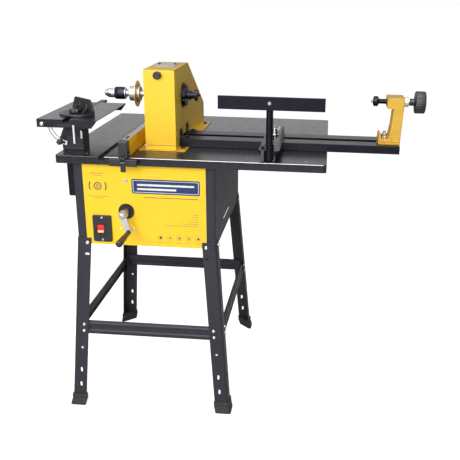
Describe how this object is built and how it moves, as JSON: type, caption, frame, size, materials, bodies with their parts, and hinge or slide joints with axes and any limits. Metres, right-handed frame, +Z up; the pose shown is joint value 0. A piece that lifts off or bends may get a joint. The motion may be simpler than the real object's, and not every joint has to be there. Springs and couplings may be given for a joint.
{
  "type": "wood lathe",
  "caption": "Bench wood lathe with headstock, drill chuck, bed, tool rest and tailstock on a table with rip fence, side table with mitre gauge, cabinet and splayed leg stand.",
  "frame": {"origin": "middle of the whole machine's footprint, on the floor the feet stand on", "axes": "+Z up, +X along the spindle from the headstock to the tailstock, +Y from the operator's side to the back; the switch and crank face -Y"},
  "size_m": [1.148, 0.812, 1.09],
  "materials": {
    "charcoal_paint": "satin charcoal powder coat with a fine texture",
    "table_paint": "smooth dark grey enamel, slightly reflective",
    "yellow_paint": "semi-gloss yellow powder coat",
    "cast_yellow": "yellow paint over rough casting",
    "black_steel": "blackened steel",
    "black_plastic": "fine-grained black moulding",
    "rubber": "matt black rubber",
    "bright_steel": "turned or zinc-plated steel",
    "chrome": "polished chrome",
    "brass": "turned brass colour",
    "aluminium": "cast aluminium",
    "grey_plastic": "grey moulding",
    "red_plastic": "glossy red moulding"
  },
  "bodies": {
    "bench": {"leg_front_left": "charcoal_paint", "leg_front_right": "charcoal_paint", "leg_rear_left": "charcoal_paint", "leg_rear_right": "charcoal_paint", "brace_front": "charcoal_paint", "brace_rear": "charcoal_paint", "brace_left": "charcoal_paint", "brace_right": "charcoal_paint", "cabinet_left_panel": "charcoal_paint", "cabinet_right_panel": "charcoal_paint", "cabinet_rear_panel": "charcoal_paint", "bed_front_rail": "charcoal_paint", "bed_rear_rail": "charcoal_paint", "side_table_bracket": "charcoal_paint", "foot_front_left": "rubber", "foot_front_right": "rubber", "foot_rear_left": "rubber", "foot_rear_right": "rubber", "drive_belt": "rubber", "cabinet_front_panel": "yellow_paint", "head_cover": "yellow_paint", "head_left_plate": "yellow_paint", "head_right_plate": "yellow_paint", "table_top": "table_paint", "lift_bracket": "black_steel", "switch_plate": "black_plastic", "spindle_bearing_left": "bright_steel", "spindle_bearing_right": "bright_steel"},
    "spindle": {"spindle_shaft": "bright_steel", "chuck_body": "chrome", "spindle_disc": "brass", "drive_faceplate": "black_steel"},
    "chuck_sleeve": {"chuck_sleeve": "black_steel"},
    "motor_carriage": {"motor_carriage": "charcoal_paint", "motor_housing": "aluminium"},
    "motor_rotor": {"motor_rotor": "bright_steel"},
    "lift_screw": {"lift_screw": "bright_steel"},
    "crank": {"crank_arm": "bright_steel"},
    "crank_grip": {"crank_grip": "black_plastic"},
    "switch_rocker": {"switch_rocker": "red_plastic"},
    "head_cover_knob": {"head_cover_knob": "black_plastic"},
    "rest_clamp": {"rest_clamp_plate": "bright_steel"},
    "rest_wing_bolt": {"rest_wing_bolt": "bright_steel"},
    "tool_rest_bracket": {"tool_rest_bracket": "black_steel"},
    "tool_rest_post": {"tool_rest_post": "black_steel"},
    "tool_rest_bar": {"tool_rest_bar": "charcoal_paint"},
    "post_clamp_lever": {"post_clamp_lever": "grey_plastic"},
    "tailstock": {"tailstock_casting": "cast_yellow"},
    "tailstock_clamp_bolt": {"tailstock_clamp_bolt": "bright_steel"},
    "live_centre": {"live_centre": "black_steel"},
    "tailstock_screw": {"tailstock_screw": "black_steel"},
    "tailstock_lock_ring": {"tailstock_lock_ring": "bright_steel"},
    "side_table_column": {"side_table_column": "black_steel"},
    "side_table": {"side_table": "table_paint"},
    "tilt_knob": {"tilt_knob": "black_plastic"},
    "mitre_gauge": {"mitre_gauge_bar": "black_steel"},
    "mitre_gauge_head": {"mitre_gauge_head": "black_plastic"},
    "mitre_gauge_knob": {"mitre_gauge_knob": "black_plastic"},
    "rip_fence": {"rip_fence": "yellow_paint"},
    "fence_lever": {"fence_lever": "black_plastic"}
  },
  "joints": [
    {"name": "spindle_spin", "type": "hinge", "parent": "bench", "child": "spindle", "pos_m": [-0.243, -0.059, 1], "axis": [1, 0, 0], "continuous": true},
    {"name": "chuck_sleeve_turn", "type": "hinge", "parent": "spindle", "child": "chuck_sleeve", "pos_m": [-0.38, -0.059, 1], "axis": [1, 0, 0], "range_deg": [0, 1080]},
    {"name": "motor_lift", "type": "slide", "parent": "bench", "child": "motor_carriage", "axis": [0, 0, 1], "range_m": [0, 0.02], "deforming": ["drive_belt"]},
    {"name": "motor_spin", "type": "hinge", "parent": "motor_carriage", "child": "motor_rotor", "pos_m": [-0.243, 0.176, 0.7], "axis": [1, 0, 0], "continuous": true},
    {"name": "lift_screw_turn", "type": "hinge", "parent": "bench", "child": "lift_screw", "pos_m": [-0.324, -0.174, 0.671], "axis": [0, 0, 1], "range_deg": [-1810, 5]},
    {"name": "crank_turn", "type": "hinge", "parent": "bench", "child": "crank", "pos_m": [-0.324, -0.294, 0.671], "axis": [0, 1, 0], "range_deg": [-5, 1810]},
    {"name": "crank_grip_spin", "type": "hinge", "parent": "crank", "child": "crank_grip", "pos_m": [-0.307, -0.354, 0.62], "axis": [0, 1, 0], "continuous": true},
    {"name": "switch_rock", "type": "hinge", "parent": "bench", "child": "switch_rocker", "pos_m": [-0.406, -0.252, 0.613], "axis": [1, 0, 0], "range_deg": [0, 16]},
    {"name": "head_cover_knob_turn", "type": "hinge", "parent": "bench", "child": "head_cover_knob", "pos_m": [-0.229, -0.182, 1.075], "axis": [0, 1, 0], "range_deg": [0, 1440]},
    {"name": "tool_rest_along_bed", "type": "slide", "parent": "bench", "child": "rest_clamp", "axis": [1, 0, 0], "range_m": [-0.14, 0.26]},
    {"name": "wing_bolt_turn", "type": "hinge", "parent": "rest_clamp", "child": "rest_wing_bolt", "pos_m": [0.113, -0.059, 0.875], "axis": [0, 0, 1], "range_deg": [0, 360]},
    {"name": "tool_rest_in_out", "type": "slide", "parent": "rest_clamp", "child": "tool_rest_bracket", "axis": [0, 1, 0], "range_m": [0, 0.125]},
    {"name": "tool_rest_height", "type": "slide", "parent": "tool_rest_bracket", "child": "tool_rest_post", "axis": [0, 0, 1], "range_m": [-0.02, 0.01]},
    {"name": "tool_rest_swivel", "type": "hinge", "parent": "tool_rest_post", "child": "tool_rest_bar", "pos_m": [0.113, -0.272, 1], "axis": [0, 0, 1], "range_deg": [-90, 90]},
    {"name": "post_clamp_turn", "type": "hinge", "parent": "tool_rest_bracket", "child": "post_clamp_lever", "pos_m": [0.097, -0.286, 0.894], "axis": [0, 1, 0], "range_deg": [0, 90]},
    {"name": "tailstock_along_bed", "type": "slide", "parent": "bench", "child": "tailstock", "axis": [1, 0, 0], "range_m": [-0.28, 0]},
    {"name": "tailstock_clamp_turn", "type": "hinge", "parent": "tailstock", "child": "tailstock_clamp_bolt", "pos_m": [0.456, -0.059, 0.89], "axis": [0, 0, 1], "range_deg": [0, 360]},
    {"name": "live_centre_feed", "type": "slide", "parent": "tailstock", "child": "live_centre", "axis": [1, 0, 0], "range_m": [-0.002, 0.022]},
    {"name": "handwheel_turn", "type": "hinge", "parent": "live_centre", "child": "tailstock_screw", "pos_m": [0.481, -0.059, 1], "axis": [1, 0, 0], "range_deg": [-365, 3965]},
    {"name": "lock_ring_turn", "type": "hinge", "parent": "tailstock", "child": "tailstock_lock_ring", "pos_m": [0.516, -0.059, 1], "axis": [1, 0, 0], "range_deg": [0, 360]},
    {"name": "side_table_height", "type": "slide", "parent": "bench", "child": "side_table_column", "axis": [0, 0, 1], "range_m": [-0.006, 0.02]},
    {"name": "side_table_tilt", "type": "hinge", "parent": "side_table_column", "child": "side_table", "pos_m": [-0.495, -0.194, 0.93], "axis": [0, 1, 0], "range_deg": [-10, 45]},
    {"name": "tilt_knob_turn", "type": "hinge", "parent": "side_table", "child": "tilt_knob", "pos_m": [-0.51951, -0.234, 0.87743], "axis": [0, 1, 0], "range_deg": [0, 360]},
    {"name": "mitre_gauge_slide", "type": "slide", "parent": "side_table", "child": "mitre_gauge", "axis": [0, 1, 0], "range_m": [-0.06, 0.12]},
    {"name": "mitre_gauge_turn", "type": "hinge", "parent": "mitre_gauge", "child": "mitre_gauge_head", "pos_m": [-0.486, -0.184, 0.95], "axis": [0, 0, 1], "range_deg": [-20, 100]},
    {"name": "mitre_gauge_knob_turn", "type": "hinge", "parent": "mitre_gauge", "child": "mitre_gauge_knob", "pos_m": [-0.486, -0.184, 0.95], "axis": [0, 0, 1], "range_deg": [0, 360]},
    {"name": "fence_slide", "type": "slide", "parent": "bench", "child": "rip_fence", "axis": [1, 0, 0], "range_m": [-0.12, 0]},
    {"name": "fence_lever_swing", "type": "hinge", "parent": "rip_fence", "child": "fence_lever", "pos_m": [-0.308, -0.314, 0.838], "axis": [1, 0, 0], "range_deg": [-85, 0]}
  ],
  "couplings": [
    {"joint": "motor_spin", "follows": "spindle_spin", "ratio": 1.5769},
    {"joint": "crank_turn", "follows": "motor_lift", "rad_per_m": 1570.8},
    {"joint": "lift_screw_turn", "follows": "motor_lift", "rad_per_m": -1570.8},
    {"joint": "handwheel_turn", "follows": "live_centre_feed", "rad_per_m": 3141.6}
  ]
}
